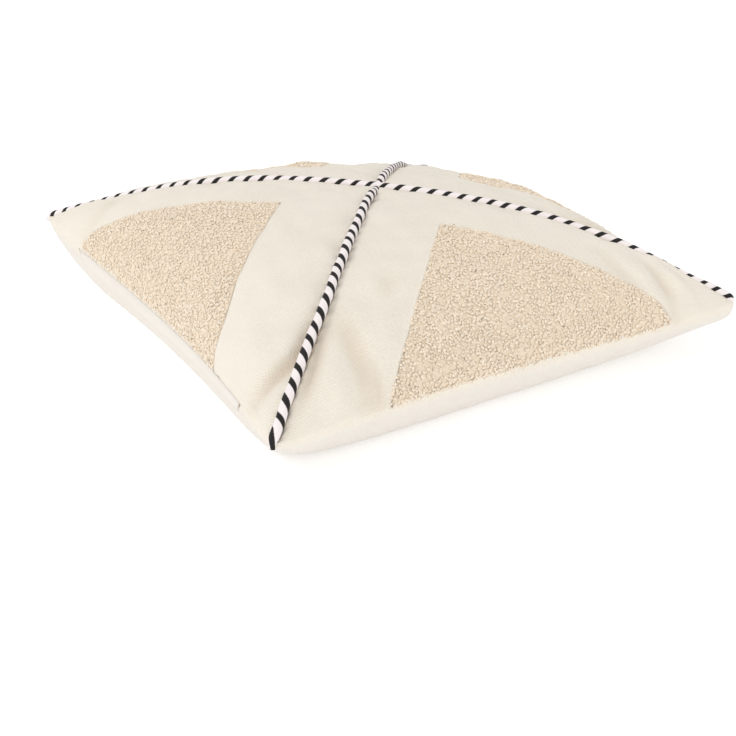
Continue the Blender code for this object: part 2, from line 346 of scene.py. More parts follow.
def from_table(table, steps, u, v):
    """The table's value at u, v, mixed from the four places round it."""
    row, column = (np.interp(t, steps, np.arange(len(steps))) for t in (u, v))
    i, j = (np.clip(t.astype(int), 0, len(steps) - 2) for t in (row, column))
    s, t = (row - i)[..., None], (column - j)[..., None]
    low, high = (table[i, k] * (1 - s) + table[i + 1, k] * s for k in (j, j + 1))
    return low * (1 - t) + high * t


def cloth_table(shape):
    """For each place, the summed lengths of the steps to it from the middle line, along u and along v."""
    places = shape(*np.meshgrid(TABLE_STEPS, TABLE_STEPS, indexing="ij"))
    along_u, along_v = lengths_along(places, 0), lengths_along(places, 1)
    middle = TABLE // 2
    return np.stack([along_u - along_u[middle], along_v - along_v[:, [middle]]], axis=-1)


FRONT_CLOTH, BACK_CLOTH = cloth_table(front), cloth_table(back)
print("front measured over the crown:", in_mm(np.ptp(FRONT_CLOTH[:, TABLE // 2, 0])), "mm")

# %% [markdown]
# ## Wrinkles from a cloth simulation
#
# A flat square of cloth has more width than a filled one can use, so near the sides it gathers into soft
# wrinkles. They could be drawn, but the cloth modifier finds them: a coarse closed bag in the shape of the
# cushion takes its rest lengths from the flat cut and is blown up a little, without gravity. The formula
# already gives the large shape, so only a share of the result's short waves is kept, and none is higher
# than the cap.

# %% Cloth simulation
BAG_CELLS, BAG_FRAMES = 72, 10
BAG_STEPS = (crowded(BAG_CELLS + 1) + np.linspace(-1, 1, BAG_CELLS + 1)) / 2
CLOTH = {"use_pressure": True, "uniform_pressure_force": 4.0, "quality": 6, "mass": 0.3,
         "bending_stiffness": 0.5, "tension_stiffness": 20, "compression_stiffness": 20,
         "shear_stiffness": 10, "tension_damping": 25, "compression_damping": 25, "shear_damping": 25}
WAVE_BLUR = 14  # rounds of averaging that take the short waves out
WAVE_SHARE, WAVE_CAP = 0.25, 0.0010


def make_bag():
    """A closed bag whose two sheets share their edge points, its cut shape, its points and their numbers."""
    u, v = np.meshgrid(BAG_STEPS, BAG_STEPS, indexing="ij")
    on_front = np.arange(u.size).reshape(u.shape)
    on_back = on_front.copy()
    on_back[1:-1, 1:-1] = u.size + np.arange((BAG_CELLS - 1) ** 2).reshape(BAG_CELLS - 1, -1)
    flat = np.stack([u * CUT_HALF, v * CUT_HALF, np.full_like(u, SEAM_HEIGHT)], axis=-1)
    filled, cut = (np.vstack([one.reshape(-1, 3), other[1:-1, 1:-1].reshape(-1, 3)])
                   for one, other in ((front(u, v), back(u, v)), (flat, flat)))
    faces = np.vstack([quads_of(on_front)[:, [0, 3, 2, 1]], quads_of(on_back)[:, [1, 2, 3, 0]]])
    bag = add_mesh("bag", filled, faces)
    bag.shape_key_add(name="filled")
    rest = bag.shape_key_add(name="cut")
    rest.data.foreach_set("co", cut.astype(np.float32).ravel())
    return bag, rest, filled, on_front, on_back


def blown_up(bag, rest):
    """Runs the cloth modifier without gravity, and gives the bag's points at its last frame."""
    cloth = bag.modifiers.new("cloth", "CLOTH")
    cloth.settings.rest_shape_key = rest
    cloth.settings.effector_weights.gravity = 0
    for key, value in CLOTH.items():
        setattr(cloth.settings, key, value)
    cloth.point_cache.frame_start, cloth.point_cache.frame_end = 1, BAG_FRAMES
    for number in range(1, BAG_FRAMES + 1):
        bpy.context.scene.frame_set(number)
    shaped = bag.evaluated_get(bpy.context.evaluated_depsgraph_get()).to_mesh()
    points = np.empty(len(shaped.vertices) * 3, np.float32)
    shaped.vertices.foreach_get("co", points)
    bpy.context.scene.frame_set(1)
    return points.reshape(-1, 3)


def blurred(sheet):
    """Each value averaged with its neighbours, 1 2 1 along both directions, again and again."""
    for _ in range(WAVE_BLUR):
        wide = np.pad(sheet, 1, mode="edge")
        rows = (wide[:-2] + 2 * wide[1:-1] + wide[2:]) / 4
        sheet = (rows[:, :-2] + 2 * rows[:, 1:-1] + rows[:, 2:]) / 4
    return sheet


def short_waves(moved, start, side):
    """The moves of a sheet along its normals, less their blur, held softly under the cap."""
    normal = unit(np.cross(np.gradient(start, axis=0), np.gradient(start, axis=1)) * side)
    height = ((moved - start) * normal).sum(axis=-1)
    return (WAVE_CAP * np.tanh((height - blurred(height)) * WAVE_SHARE / WAVE_CAP))[..., None]


def simulated_waves():
    bag, rest, filled, on_front, on_back = make_bag()
    points = blown_up(bag, rest)
    waves = [short_waves(points[n], filled[n], side) for n, side in ((on_front, 1), (on_back, -1))]
    bpy.data.objects.remove(bag)
    return waves


FRONT_WAVES, BACK_WAVES = simulated_waves()
print("waves up to", in_mm(abs(FRONT_WAVES).max()), "mm on the front")

# %% [markdown]
# ## The folds of this cushion
#
# A filled cover is never even. It dips beside the piping, where the seam holds it down, and it pulls into
# soft folds towards the corners. They could be sculpted by hand, but a short table is easier to repeat
# and to change: each row is one soft trough or ridge, with its place, direction, length, width and height.
# The canvas also folds under round each boucle triangle, which leaves a low ridge and a step down.

# %% Folds and seams of the front
PIPING_DIP, PIPING_DIP_REACH = 0.0013, 0.010  # the trough beside the piping
PIPING_TUCK, PIPING_TUCK_REACH = 0.0019, 0.0022  # the seam allowance going down under it
HEM_RISE, HEM_WIDTH, HEM_OUT = 0.0005, 0.0012, 0.0016  # the canvas folded under just outside a triangle
PANEL_SINK, PANEL_EDGE = 0.0016, 0.0006  # the boucle's bed in the canvas, and half the width of its side
SEAM_FADE, BED_FADE = 0.004, 0.0012  # how far from the side seam the cloth and the bed reach their height
PANEL_SEAM = 0.9985  # where a triangle's long side ends, 1 at the side seam
STIFF_START, STIFF_WIDTH, STIFF_SHARE = 0.055, 0.020, 0.7  # the simulated waves are lower on the boucle
# For each quarter: the signs of a and b in it, and the triangle's distances from the long and the short
# piping, first at its tip and then at the side seam
QUARTERS = {
    "left": (-1, -1, (0.075, 0.075), (0.051, 0.088)),
    "front": (-1, 1, (0.0735, 0.069), (0.057, 0.0685)),
    "right": (1, 1, (0.070, 0.070), (0.058, 0.068)),
    "back": (1, -1, (0.070, 0.070), (0.058, 0.068)),
}
# Middle u and v, direction in degrees from +X, half length, half width, height, all lengths in metres
FOLDS = (
    (-0.752, -0.716, 38, 0.020, 0.0060, -0.0030),
    (-0.895, -0.778, 4, 0.020, 0.0068, -0.0048),
    (-0.802, -0.757, 16, 0.013, 0.0052, -0.0034),
    (-0.910, -0.625, 80, 0.024, 0.0120, 0.0024),
    (-0.785, -0.835, 46, 0.032, 0.0052, -0.0032),
    (-0.638, -0.875, 88, 0.030, 0.0095, -0.0036),
    (-0.500, -0.810, 38, 0.024, 0.0120, 0.0030),
    (-0.730, -0.930, 60, 0.018, 0.0090, 0.0020),
    (-0.600, -0.975, 80, 0.012, 0.0035, -0.0014),
    (-0.420, -0.700, 45, 0.020, 0.0110, -0.0014),
    (0.600, -0.870, -84, 0.024, 0.0065, 0.0016),
    (0.690, -0.985, -30, 0.012, 0.0050, 0.0010),
    (0.520, -0.830, -82, 0.024, 0.0085, -0.0018),
    (0.672, -0.915, -95, 0.026, 0.0068, -0.0026),
    (0.745, -0.905, -75, 0.026, 0.0070, 0.0018),
    (0.768, -0.812, -45, 0.026, 0.0060, 0.0034),
    (0.755, -0.670, -45, 0.070, 0.0120, -0.0052),
    (-0.835, 0.795, -45, 0.026, 0.0055, 0.0022),
    (-0.880, 0.700, 20, 0.034, 0.0080, -0.0014),
    (-0.780, 0.880, 70, 0.034, 0.0075, -0.0014),
    (0.880, 0.800, -15, 0.034, 0.0085, -0.0016),
    (0.700, -0.100, -78, 0.058, 0.0200, 0.0042),
    (0.020, 0.600, 0, 0.024, 0.0150, 0.0036),
    (0.320, 0.600, 5, 0.018, 0.0150, -0.0028),
    (0.570, 0.600, -45, 0.024, 0.0180, -0.0022),
    (0.700, 0.700, 45, 0.032, 0.0260, -0.0030),
    (0.790, -0.560, -60, 0.036, 0.0160, -0.0038),
    (0.760, 0.900, -75, 0.034, 0.0080, -0.0014),
    (0.900, -0.640, 8, 0.034, 0.0080, -0.0016),
)
WRINKLES, WRINKLE_HEIGHT, WRINKLE_SEED = 36, 0.00011, 11


def fold_height(u, v):
    """The sum over the table of height * exp(-(along/length)^2 - (across/width)^2)."""
    total = np.zeros_like(u)
    for middle_u, middle_v, degrees, length, width, height in FOLDS:
        x, y = (u - middle_u) * CUT_HALF, (v - middle_v) * CUT_HALF
        cos, sin = math.cos(math.radians(degrees)), math.sin(math.radians(degrees))
        total += height * np.exp(-(((x * cos + y * sin) / length) ** 2) - ((y * cos - x * sin) / width) ** 2)
    return total


def wrinkle_height(u, v):
    """A sum of plane waves 18 to 70 mm long in seeded directions: the faint unevenness of the filling."""
    chance = np.random.default_rng(WRINKLE_SEED)
    wave = 2 * np.pi / chance.uniform(0.018, 0.070, WRINKLES)
    turn, start = chance.uniform(0, 2 * np.pi, (2, WRINKLES))
    place = np.stack([u, v], axis=-1) * CUT_HALF @ np.stack([wave * np.cos(turn), wave * np.sin(turn)])
    return WRINKLE_HEIGHT * np.sin(place + start).sum(axis=-1)


def hem_lines(quarter, a, b):
    """The triangle's inner edges, straight from its tip to the seam: a at this b, and b at this a."""
    _, _, tip, seam = QUARTERS[quarter]
    end = PANEL_SEAM * HALF_DIAGONAL
    hem_a = tip[0] + (seam[0] - tip[0]) * (b - tip[1]) / (end - seam[0] - tip[1])
    hem_b = tip[1] + (seam[1] - tip[1]) * (a - tip[0]) / (end - seam[1] - tip[0])
    return hem_a, hem_b


def seam_fade(u, v, reach=SEAM_FADE):
    """From 0 at the side seam, which holds the cloth, to 1 a little way in."""
    return eased((1 - np.maximum(abs(u), abs(v))) * CUT_HALF / reach)


def cloth_waves(u, v):
    """Folds, faint waves and simulated wrinkles, the last three tenths as high on the stiffer boucle."""
    limp = 1 - STIFF_SHARE * eased((from_piping(u, v) - STIFF_START) / STIFF_WIDTH)
    waves = fold_height(u, v) + wrinkle_height(u, v) + limp * from_table(FRONT_WAVES, BAG_STEPS, u, v)[..., 0]
    return waves * seam_fade(u, v)


def front_relief(a, b, quarter):
    """Height above the formula's front: waves, the dip at the piping and the bed of the triangle."""
    u, v = to_square(a, b)
    hem_a, hem_b = hem_lines(quarter, abs(a), abs(b))
    edge = np.minimum(abs(a) - hem_a, abs(b) - hem_b)
    beside = np.minimum(abs(a), abs(b))
    height = (HEM_RISE * bell((edge + HEM_OUT) / HEM_WIDTH) - PIPING_DIP * bell(beside / PIPING_DIP_REACH)
              - PIPING_TUCK * bell(beside / PIPING_TUCK_REACH))
    bed = PANEL_SINK * eased((edge + PANEL_EDGE) / (2 * PANEL_EDGE)) * seam_fade(u, v, BED_FADE)
    return height * seam_fade(u, v) - bed + cloth_waves(u, v)


print(len(FOLDS), "folds and", WRINKLES, "faint waves")

# %% [markdown]
# ## The cover
#
# The cover is one closed surface, a front and a back sewn along the side seam. A plain square grid would
# cross the piping and the edges of the triangles at a slant and turn them into saw teeth. So each of the
# four quarters has its own grid, whose lines run along the two pipings and are packed closer at them and
# at the edges of the boucle. Near the side seam the rows follow the seam instead, where the cloth is steep.

# %% Cover
LINES, FINE_STEPS = 130, 6000  # grid lines along half a piping, and steps in which a sum is taken
RIM, RIM_ROWS = 0.93, 20  # where the rows that follow the seam begin, as a share of the way out
CLOSE_BY = 5.0  # how much closer the lines lie at the piping and at the hems
HEM_A, HEM_B = 0.060, 0.072  # the lines that are bent to run along the hems
FAR_LINE = RIM * HALF_DIAGONAL  # where the rim begins, on a piping
PACKED = ((0.0, 0.0030), (HEM_A, 0.0026), (FAR_LINE - HEM_B, 0.0026), (FAR_LINE, 0.0030))
HEM_BEND, SEAM_BEND = 0.6, 0.6  # shares of the way to a hem and to the seam where the bending sets in
SEAM_DEPTH, SEAM_REACH = 0.0002, 0.0010  # how far the seam's thread draws the cloth in
SIDE_POWER = 8  # how squarely a point is drawn in from its own side
HOLLOW_DEPTH = 0.0045  # of a trough that gets the least light
UNDER_REACH = 0.010  # below the seam, over which the back's painted light sets in
# How dark the painted shade at a triangle's edge along the short piping is, from how far out, and half its
# width
SLIT_SHADES = {"left": (0.75, 0.0, 0.0006), "front": (0.9, 0.222, 0.0007),
         "right": (0.3, 0.0, 0.0006), "back": (0.3, 0.0, 0.0006)}
SLIT_START, SLIT_TAIL = 0.002, 0.010  # lengths over which such an edge sets in
# Painted shade in the gap along the side seam towards -X
SEAM_SLIT_SHADE = ((-0.70, -0.68, -0.47, -0.40), (0, 0.8, 0.8, 0))  # v and darkness along the seam towards -X
SEAM_SLIT_WIDTH, SEAM_SLIT_EDGE = 0.0006, -0.98
COVER_JOIN = 1e-5  # how far apart the points of two quarters lie at most where they meet


def packed_lines():
    """Line places: the inverse of the running sum of a density, 1 plus a bell curve at each packed place."""
    fine = np.linspace(0, FAR_LINE, FINE_STEPS)
    density = 1 + CLOSE_BY * sum(bell((fine - middle) / width) for middle, width in PACKED)
    total = np.insert(np.cumsum((density[1:] + density[:-1]) / 2), 0, 0)
    return np.interp(np.linspace(0, total[-1], LINES + 1), total, fine)


def quarter_grid():
    """Distances a and b of one quarter's points, and its faces: a triangle of cells, then the rim's rows."""
    lines = packed_lines()
    other = FAR_LINE - lines[::-1]
    i, j = np.indices((LINES + 1, LINES + 1))
    inside = i + j <= LINES
    number = np.cumsum(inside.ravel()).reshape(inside.shape) - 1
    a, b = lines[i[inside]], other[j[inside]]
    cells, rank = quads_of(number)[:, [0, 3, 2, 1]], (i + j)[:-1, :-1].ravel()
    share = 1 - (1 - RIM) * (1 - np.linspace(0, 1, RIM_ROWS + 1)[1:, None]) ** 2
    rim_a, rim_b = (line * share / RIM for line in (lines, other[::-1]))
    edge = np.arange(LINES + 1)
    rim = np.vstack([number[edge, LINES - edge], len(a) + np.arange(rim_a.size).reshape(rim_a.shape)])
    quads = np.concatenate([cells[rank < LINES - 1], quads_of(rim)[:, [1, 2, 3, 0]]])
    halves = cells[rank == LINES - 1][:, [0, 1, 3]]
    return np.append(a, rim_a), np.append(b, rim_b), quads, halves


def bent_to_hems(quarter, a, b):
    """Moves the two packed lines onto the hems, less towards the piping, and along the seam at the rim."""
    hem_a, hem_b = hem_lines(quarter, a, b)
    near_a, near_b = (np.interp(t, (0, hem, HALF_DIAGONAL), (0, 1, 0)) for t, hem in ((a, HEM_A), (b, HEM_B)))
    move_a = (hem_a - HEM_A) * near_a * eased(b / (HEM_BEND * HEM_B))
    move_b = (hem_b - HEM_B) * near_b * eased(a / (HEM_BEND * HEM_A))
    along_seam = eased(((a + b) / HALF_DIAGONAL - SEAM_BEND) / (1 - SEAM_BEND))
    return a + move_a - along_seam * move_b, b + move_b - along_seam * move_a


def pulled_in(place, u, v):
    """Moves points near the side seam inwards by depth * exp(-(distance / reach)^2), as its thread does."""
    side = np.maximum(np.maximum(abs(u), abs(v)), TINY)
    x, y = (np.sign(t) * abs(t / side) ** SIDE_POWER for t in (u, v))
    distance = np.linalg.norm(place - front(u / side, v / side), axis=-1)
    depth = SEAM_DEPTH * bell(distance / SEAM_REACH)
    return place - unit(np.stack([x, y, 0 * x], axis=-1)) * depth[:, None], distance


def slit_shade_mask(a, b, u, v, quarter, to_seam):
    """Painted shade up to 1 in the slits, brown lines at a hem of each triangle and at part of the side seam.
    """
    hem_a, hem_b = hem_lines(quarter, a, b)
    strength, from_a, wide = SLIT_SHADES[quarter]
    inside = eased((a - hem_a + SLIT_START) / (2 * SLIT_START))
    tail = np.interp(a, (from_a - SLIT_TAIL, from_a), (0, 1))
    hem = strength * inside * tail * bell((b - hem_b) / wide)
    seam = np.interp(v, *SEAM_SLIT_SHADE) * (u < SEAM_SLIT_EDGE)
    return np.clip(hem + seam * bell(to_seam / SEAM_SLIT_WIDTH), 0, 1)


def cover_parts():
    """All eight quarter grids, front and back, on their surfaces, with their faces turned outwards."""
    plain_a, plain_b, quads, halves = quarter_grid()
    parts, all_quads, all_halves = [], [], []
    for side, shape, cloth in ((1, front, FRONT_CLOTH), (-1, back, BACK_CLOTH)):
        for name, (sign_a, sign_b, _, _) in QUARTERS.items():
            a, b = bent_to_hems(name, plain_a, plain_b)
            u, v = to_square(a * sign_a, b * sign_b)
            place, normal, _, _ = on_surface(shape, u, v, side)
            if side > 0:
                height = front_relief(a * sign_a, b * sign_b, name)
            else:
                height = from_table(BACK_WAVES, BAG_STEPS, u, v)[:, 0] * seam_fade(u, v)
            place, to_seam = pulled_in(place + normal * height[:, None], u, v)
            # Painted shade in the slits at the hems and the seam, with the brown of the backing threads in it
            dark = (side > 0) * slit_shade_mask(a, b, u, v, name, to_seam)
            # Painted light on the back's band below the seam, less yellow, for the way light falls there
            under = (side < 0) * eased(to_seam / UNDER_REACH)
            # Painted shade in the troughs of the folds, darker where they are deeper
            hollow_shade = (side > 0) * np.clip(-fold_height(u, v) / HOLLOW_DEPTH, 0, 1)
            first, turn = len(a) * len(parts), slice(None, None, -1 if sign_a * sign_b * side > 0 else 1)
            parts.append(np.column_stack([place, from_table(cloth, TABLE_STEPS, u, v), dark, under, hollow_shade]))
            all_quads.append(quads[:, turn] + first)
            all_halves.append(halves[:, turn] + first)
    return np.concatenate(parts), np.concatenate(all_quads), np.concatenate(all_halves)


parts, quads, halves = cover_parts()
painted_shade_and_light = {"slit_shade": parts[:, 5], "underside_light": parts[:, 6], "hollow_shade": parts[:, 7]}
cover = sewn(add_mesh("cover", parts[:, :3], quads, halves, uv=parts[:, 3:5], values=painted_shade_and_light), COVER_JOIN)
dressed(cover, "canvas", "cushion")

# %% [markdown]
# ## The piping
#
# Piping is a cord wrapped in a strip of cloth that was cut on the bias, which is why its stripes wind
# round it at a slant. A curve with a round bevel would do for a plain cord. Here the tube is worked out as
# a circle carried along the path, so that its UV map can hold the metres along it and the turn round it,
# and the stripes can follow both. It sinks between the cloths by its own table, a second one says where
# its strip was eased or stretched in sewing, and at a corner it bends down and is tucked in.

# %% Piping
PIPING_RADIUS, PIPING_LIFT = 0.0036, 0.0008
PIPING_SIDES, PIPING_STEP = 20, 0.0014  # points round a circle, and the distance between two circles
END_CIRCLES, END_START = 4, 0.05  # circles that close an end, and the angle of the smallest
LINE_WANDER, LINE_REACH = 0.00018, 0.008  # how far the line wanders, and how smoothly
SWELL, SWELL_REACH = 0.00009, 0.005  # the same for the radius
PATH_STEPS, CHANCE_MARGIN = 4000, 100  # steps a length is summed in, and values past a random line's ends
END_SQUEEZE, END_REACH = 0.35, 0.008  # how much thinner it is where it is sewn in at a corner
LEAN_LENGTH = 0.12  # over which a piping leans aside
LEFTWARD = np.array([-math.sqrt(0.5), math.sqrt(0.5), 0])  # the way it leans
TUBE_JOIN = 2e-6  # how far apart the two columns of points lie at most where a tube closes
NEAR_MEET, FAR_MEET = 0.0170, 0.0125  # where the short ones stop beside the long one
# How far each length sinks into the cover: place along it from the crossing, and how much, in metres
PIPING_SINK = {
    "striped_piping_long": ((-0.306, 0.0030), (-0.285, 0.0032), (-0.258, 0.0032), (-0.230, 0.0028),
                            (-0.180, 0.0023), (-0.100, 0.0018), (0.110, 0.0018), (0.160, 0.0022),
                            (0.210, 0.0024), (0.235, 0.0028), (0.262, 0.0038), (0.280, 0.0034),
                            (0.295, 0.0018), (0.306, 0.0012)),
    "striped_piping_near": ((0.002, 0.0040), (0.010, 0.0026), (0.024, 0.0003), (0.040, 0.0)),
    "striped_piping_far": ((-0.002, 0.0036), (0.008, 0.0022), (0.022, 0.0006), (0.135, 0.0008),
                           (0.160, 0.0026), (0.190, 0.0042), (0.245, 0.0038), (0.290, 0.0014)),
}
# Where the strip was eased or stretched in sewing: the same places, and how far its stripes lie off there
STRIPE_EASE = {
    "striped_piping_long": ((-0.307, 0.0097), (-0.294, 0.0113), (-0.258, 0.0113), (-0.240, 0.0111),
                            (-0.225, 0.0096), (-0.198, 0.0090), (-0.170, 0.0097), (-0.143, 0.0079),
                            (-0.120, 0.0060), (-0.060, 0.0062), (-0.025, 0.0040), (0.010, 0.0074),
                            (0.050, 0.0062), (0.085, 0.0082), (0.122, 0.0127), (0.165, 0.0121),
                            (0.205, 0.0106), (0.235, 0.0094), (0.262, 0.0122), (0.286, 0.0119),
                            (0.307, 0.0150)),
    "striped_piping_near": ((0.020, -0.0049), (0.060, -0.0042), (0.089, -0.0064), (0.103, -0.0070),
                            (0.114, -0.0048), (0.124, -0.0022), (0.150, -0.0012), (0.161, 0.0016),
                            (0.172, 0.0038), (0.190, 0.0043), (0.213, 0.0020), (0.227, 0.0022),
                            (0.240, 0.0036), (0.255, 0.0026), (0.267, 0.0034), (0.281, 0.0034),
                            (0.296, 0.0014), (0.3085, 0.0034), (0.322, -0.0035)),
    "striped_piping_far": ((0.0, 0.0), (0.1, 0.0020), (0.2, -0.0010), (0.3, 0.0010)),
}


def carried_circle(path, radius):
    """The points of a tube, the length of path at each circle, and the turn of each column, 0 on top.

    A point is the path's plus radius * (cos(turn) over + sin(turn) left). Past each end a few circles of
    sin(t) of the radius follow, 1 - cos(t) of it further out, so that the end closes inwards.
    """
    ahead = unit(np.gradient(path, axis=0))
    left = unit(np.cross([0, 0, 1.0], ahead))
    over = np.cross(ahead, left)
    t = np.linspace(END_START, math.pi / 2, END_CIRCLES + 1)[:-1, None]
    shrink, out = np.sin(t), 1 - np.cos(t)
    before, after = -ahead[0] * radius[0] * out, ahead[-1] * radius[-1] * out[::-1]
    middle = np.vstack([path[0] + before, path, path[-1] + after])
    size = np.pad(radius, END_CIRCLES, mode="edge")[:, None]
    size = size * np.vstack([shrink, np.ones((len(path), 1)), shrink[::-1]])
    more = ((END_CIRCLES, END_CIRCLES), (0, 0))
    left, over = (np.pad(axis, more, mode="edge")[:, None] for axis in (left, over))
    turn = np.linspace(-0.5, 0.5, PIPING_SIDES + 1)
    angle = 2 * np.pi * turn[:, None]
    points = middle[:, None] + size[..., None] * (np.cos(angle) * over + np.sin(angle) * left)
    return points, lengths_along(middle), turn


def piping_line(start, end, turn):
    """Points on the front along v = turn * u at even lengths, their u, and those lengths."""
    fine = np.linspace(start, end, PATH_STEPS)
    along = lengths_along(front(fine, turn * fine))
    even = np.linspace(0, along[-1], int(along[-1] / PIPING_STEP) + 1)
    u = np.interp(even, along, fine)
    return front(u, turn * u), u, even


def smooth_chance(count, reach, seed):
    """A seeded random line around 0 with a spread of 1, smoothed over the reach."""
    wild = np.random.default_rng(seed).normal(size=count + 2 * CHANCE_MARGIN)
    weights = bell(np.arange(-CHANCE_MARGIN, CHANCE_MARGIN + 1) * PIPING_STEP / reach)
    line = np.convolve(wild, weights, "same")[CHANCE_MARGIN:-CHANCE_MARGIN]
    return line / line.std()


def bent_down(path, share, reach):
    """The path with an end added: an arc of that radius, a share of a quarter circle, towards the ground."""
    turn = np.linspace(0, math.pi / 2 * share, int(reach * math.pi / 2 / PIPING_STEP) + 2)[1:, None]
    arc = np.sin(turn) * unit(path[-1] - path[-2]) - (1 - np.cos(turn)) * straight_up
    return np.vstack([path, path[-1] + reach * arc])


def add_piping(name, start, end, turn, ends, seed, lean=0.0, lean_from=0.0):
    """One length along v = turn * u, sunk by its table and bent down at its ends."""
    path, u, even = piping_line(start, end, turn)
    _, normal, _, _ = on_surface(front, u, turn * u)
    crossing = np.interp(0, np.sort(u), even if start < end else even[::-1])
    sink = np.interp(even - crossing, *zip(*PIPING_SINK[name]))
    aside = lean * eased((np.arange(len(path)) * PIPING_STEP - lean_from) / LEAN_LENGTH)
    path = path + normal * (PIPING_LIFT - sink)[:, None] + aside[:, None] * LEFTWARD
    if ends[0]:
        path = bent_down(path[::-1], *ends[0])[::-1]
    if ends[1]:
        path = bent_down(path, *ends[1])
    top = front(np.zeros(1), np.zeros(1)) + PIPING_LIFT * straight_up
    zero = np.argmin(np.linalg.norm(path - top, axis=1)) + END_CIRCLES
    side = unit(np.cross(np.gradient(path, axis=0), straight_up))
    path = path + side * (smooth_chance(len(path), LINE_REACH, seed) * LINE_WANDER)[:, None]
    radius = PIPING_RADIUS + smooth_chance(len(path), SWELL_REACH, seed + 1) * SWELL
    to_end = np.arange(len(path)) * PIPING_STEP
    for distance, bent in ((to_end, ends[0]), (to_end[::-1], ends[1])):
        radius *= 1 - END_SQUEEZE * eased(1 - distance / END_REACH) * bool(bent)
    points, along, turns = carried_circle(path, radius)
    along = along - along[zero]
    along = along + np.interp(along, *zip(*STRIPE_EASE[name]))
    uv = np.stack(np.broadcast_arrays(along[:, None], turns), axis=-1)
    made = sewn(add_mesh(name, points, grid_quads(*points.shape[:2])[:, ::-1], uv=uv), TUBE_JOIN)
    return dressed(made, "striped_cotton", name.replace("striped_", ""))


# Each end that is tucked in: the share of a quarter circle that it bends, and the radius of the bend
piping_long = add_piping("striped_piping_long", -0.989, 0.967, -1, ((0.6, 0.003), (0.9, 0.0045)), 3)
piping_near = add_piping("striped_piping_near", -NEAR_MEET, -0.984, 1, (None, (0.8, 0.0035)), 5, 0.0022, 0.17)
piping_far = add_piping("striped_piping_far", FAR_MEET, 0.988, 1, (None, (0.8, 0.004)), 7)

# %% [markdown]
# ## The boucle triangles
#
# Boucle is woven from a yarn that is full of small loops and curls. A bump map alone leaves a flat sheet
# that looks printed, most of all at its edge. So each triangle is two pieces: a thin backing sheet in its
# bed in the canvas, and its pile, a few thousand short curls of yarn. Both are placed by two shares, one
# down from the tip to the side seam and one across, and its size as cloth is measured the same way.

# %% Places on a triangle
ROW_CROWDING = 1.6  # the rows lie closer towards the seam, where the cloth is steep
FLAT_STEPS = 81


def triangle_corners(quarter):
    """The tip, and the seam's corners near the short and near the long piping, as distances a and b."""
    _, _, tip, seam = QUARTERS[quarter]
    end = PANEL_SEAM * HALF_DIAGONAL
    return np.array(tip), np.array([end - seam[1], seam[1]]), np.array([seam[0], end - seam[0]])


def on_triangle(quarter, down, across):
    """u and v at a share down from the tip to the seam, and one across from the short piping's side."""
    tip, short_end, long_end = triangle_corners(quarter)
    a, b = (tip[k] + down * (short_end[k] - tip[k] + across * (long_end[k] - short_end[k])) for k in (0, 1))
    return to_square(QUARTERS[quarter][0] * a, QUARTERS[quarter][1] * b)


def seamward(start, count):
    """Shares down a triangle for its rows, 1 - (1 - t)^1.6 of even ones, as a column."""
    return 1 - (1 - np.linspace(start, 1, count)[:, None]) ** ROW_CROWDING


def flat_size(quarter):
    """The rectangle round the triangle as it was cut, its long side by its height, and its area.

    All are measured along the filled front, where the triangle lies smooth: the area is the sum of
    |d1 x d2| / 2 over cells with the diagonals d1 and d2, and the height is 2 area / long side.
    """
    place = front(*on_triangle(quarter, seamward(0, FLAT_STEPS), np.linspace(0, 1, FLAT_STEPS)))
    base = float(lengths_along(place[-1])[-1])
    one, other = place[1:, 1:] - place[:-1, :-1], place[1:, :-1] - place[:-1, 1:]
    area = float(np.linalg.norm(np.cross(one, other), axis=-1).sum()) / 2
    return (base, 2 * area / base), area


for quarter in QUARTERS:
    print(quarter, "triangle cut", in_mm(flat_size(quarter)[0]), "mm")

# %% [markdown]
# ## The backing sheets
#
# The ground of the boucle is a plain woven sheet, a millimetre thick with its yarn. A flat sheet could be
# laid on by a modifier, but then its edge would not meet the hem. Here each row is a ring, along the top
# and back along the underside, on the same formula as the bed that it lies in.

# %% Backing sheets
BACKING_ROWS, BACKING_COLUMNS, BACKING_START = 56, 40, 0.008
BACKING_TOP, BACKING_UNDER = -0.0002, -0.0012  # its two faces, above the formula's front


def add_backing(quarter):
    """A thin closed sheet: rings from the tip to the seam, the first and the last closed by quads."""
    u, v = on_triangle(quarter, seamward(BACKING_START, BACKING_ROWS), np.linspace(0, 1, BACKING_COLUMNS + 1))
    place, normal, _, _ = on_surface(front, u, v)
    low = cloth_waves(u, v)[..., None]
    top, under = (place + normal * (height + low) for height in (BACKING_TOP, BACKING_UNDER))
    lengths = from_table(FRONT_CLOTH, TABLE_STEPS, u, v)
    ring, uv = (np.hstack([there, again[:, ::-1]]) for there, again in ((top, under), (lengths, lengths)))
    size = ring.shape[1]
    k = np.arange(BACKING_COLUMNS)
    cap = np.stack([k, k + 1, size - 2 - k, size - 1 - k], axis=-1)
    sides = grid_quads(BACKING_ROWS, size, closed=True)
    faces = np.concatenate([sides, cap[:, ::-1], cap + (BACKING_ROWS - 1) * size])
    return sewn(add_mesh("boucle_backing_" + quarter, ring, faces, uv=uv))


backings = {quarter: add_backing(quarter) for quarter in QUARTERS}

# %% [markdown]
# ## The pile
#
# The yarn stands up in small curls that hide the ground. Hair or scattered copies would make them too, but
# they would leave no plain mesh. Each curl is a small bent tube with a few dozen faces, and all curls of a
# triangle are worked out together as one array. Their places are random, then thinned to an even spacing.

